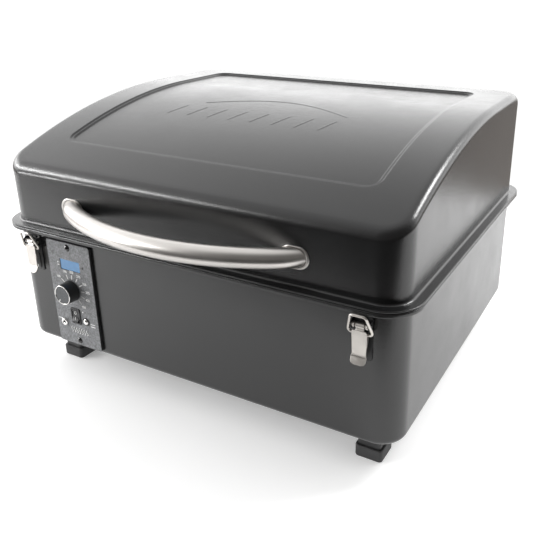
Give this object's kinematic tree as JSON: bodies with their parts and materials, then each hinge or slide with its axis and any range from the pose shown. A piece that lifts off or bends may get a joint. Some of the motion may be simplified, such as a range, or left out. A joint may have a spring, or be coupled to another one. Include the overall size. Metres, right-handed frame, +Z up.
{
  "type": "pellet smoker grill",
  "caption": "Portable tabletop pellet smoker grill: black sheet-steel tub and domed hinged lid, bowed steel handle, side latches, front dial control panel, hopper with auger feed.",
  "frame": {"origin": "on the ground under the middle of the whole object's box", "axes": "+X to the right seen from the front, -Y to the front where the handle and controls are, +Z up"},
  "size_m": [0.505, 0.4713, 0.313],
  "materials": {
    "black_powder_coat": "semi-gloss, fine orange peel",
    "dark_steel": "satin black",
    "rubber": "matte",
    "zinc_steel": "satin",
    "galvanised": "dull zinc",
    "stainless": "brushed",
    "faceplate_paint": "hammered, fine grain",
    "case_plastic": "fine texture",
    "circuit_board": "solder mask",
    "display_panel": "dark blue liquid crystal",
    "display_lens": "clear, tinted blue",
    "led_plastic": "gloss",
    "knob_plastic": "moulded",
    "knob_metal": "spun",
    "switch_plastic": "moulded",
    "bright_metal": "polished",
    "bronze": "sintered",
    "gear_housing": "die cast",
    "fan_plastic": "moulded",
    "fire_steel": "heat-tinted",
    "ceramic_rod": "ceramic",
    "enamel": "porcelain enamel",
    "satin_nickel": "satin nickel plate"
  },
  "bodies": {
    "base": {"base_tub": "black_powder_coat", "legs": "dark_steel", "foot_pads": "rubber", "leg_screws": "zinc_steel", "divider_wall": "galvanised", "hopper_bin": "galvanised", "hopper_hinge_pin": "zinc_steel", "control_faceplate": "faceplate_paint", "panel_screws": "dark_steel", "controller_case": "case_plastic", "controller_board": "circuit_board", "display_module": "display_panel", "display_window": "display_lens", "status_light": "led_plastic", "dial_encoder": "gear_housing", "switch_bezel": "switch_plastic", "probe_jack": "bright_metal", "prime_switch": "case_plastic", "auger_tube": "galvanised", "auger_bush": "bronze", "auger_gearmotor": "gear_housing", "fan_housing": "fan_plastic", "fan_motor": "gear_housing", "firepot": "fire_steel", "igniter_rod": "ceramic_rod", "heat_baffle": "fire_steel", "drip_tray": "enamel", "support_rails": "galvanised", "temperature_probe": "stainless", "power_inlet": "case_plastic", "latch_plates": "dark_steel", "latch_rivets": "zinc_steel", "latch_pins": "satin_nickel", "latch_springs": "satin_nickel", "hinge_leaves_base": "dark_steel", "hinge_pins": "zinc_steel", "hinge_screws_base": "zinc_steel"},
    "lid": {"lid_shell": "black_powder_coat", "hinge_leaves_lid": "dark_steel", "hinge_screws_lid": "zinc_steel", "handle_tube": "stainless", "handle_bezels": "stainless", "handle_bolts": "zinc_steel"},
    "knob": {"knob_shaft": "zinc_steel", "knob_body": "knob_plastic", "knob_cap": "knob_metal"},
    "rocker": {"switch_rocker": "switch_plastic"},
    "prime_button": {"prime_button": "bright_metal"},
    "lever_left": {"latch_lever_left": "satin_nickel"},
    "lever_right": {"latch_lever_right": "satin_nickel"},
    "bail_left": {"latch_bail_left": "satin_nickel"},
    "bail_right": {"latch_bail_right": "satin_nickel"},
    "hopper_lid": {"hopper_lid": "dark_steel", "hopper_lid_knob": "knob_plastic"},
    "grate": {"grill_grate": "enamel"},
    "auger": {"auger_shaft": "zinc_steel", "auger_flight": "zinc_steel"},
    "fan_wheel": {"fan_impeller": "galvanised"}
  },
  "joints": [
    {"name": "lid_hinge", "type": "hinge", "parent": "base", "child": "lid", "pos_m": [0, 0.23168, 0.18495], "axis": [-1, 0, 0], "range_deg": [0, 95]},
    {"name": "knob_turn", "type": "hinge", "parent": "base", "child": "knob", "pos_m": [-0.1524, -0.18732, 0.1166], "axis": [0, 1, 0], "range_deg": [0, 287]},
    {"name": "rocker_rock", "type": "hinge", "parent": "base", "child": "rocker", "pos_m": [-0.152, -0.18332, 0.084], "axis": [1, 0, 0], "range_deg": [0, 16]},
    {"name": "prime_press", "type": "slide", "parent": "base", "child": "prime_button", "axis": [0, 1, 0], "range_m": [0, 0.0012], "stiffness_N_per_m": 300},
    {"name": "lever_left_swing", "type": "hinge", "parent": "base", "child": "lever_left", "pos_m": [-0.206, -0.18907, 0.167], "axis": [-1, 0, 0], "range_deg": [0, 120]},
    {"name": "lever_right_swing", "type": "hinge", "parent": "base", "child": "lever_right", "pos_m": [0.206, -0.18907, 0.167], "axis": [-1, 0, 0], "range_deg": [0, 120]},
    {"name": "bail_left_swing", "type": "hinge", "parent": "lever_left", "child": "bail_left", "pos_m": [-0.206, -0.18947, 0.1595], "axis": [-1, 0, 0], "range_deg": [-146, 0]},
    {"name": "bail_right_swing", "type": "hinge", "parent": "lever_right", "child": "bail_right", "pos_m": [0.206, -0.18947, 0.1595], "axis": [-1, 0, 0], "range_deg": [-146, 0]},
    {"name": "hopper_lid_hinge", "type": "hinge", "parent": "base", "child": "hopper_lid", "pos_m": [-0.228, 0.01643, 0.1864], "axis": [0, -1, 0], "range_deg": [0, 45]},
    {"name": "grate_lift", "type": "slide", "parent": "base", "child": "grate", "axis": [0, 0, 1], "range_m": [0, 0.05]},
    {"name": "auger_spin", "type": "hinge", "parent": "base", "child": "auger", "pos_m": [-0.1, 0.01643, 0.075], "axis": [1, 0, 0], "continuous": true},
    {"name": "fan_spin", "type": "hinge", "parent": "base", "child": "fan_wheel", "pos_m": [-0.13, 0.14143, 0.088], "axis": [1, 0, 0], "continuous": true}
  ],
  "couplings": [
    {"joint": "bail_left_swing", "follows": "lever_left_swing", "ratio": -1.2},
    {"joint": "bail_right_swing", "follows": "lever_right_swing", "ratio": -1.2}
  ]
}
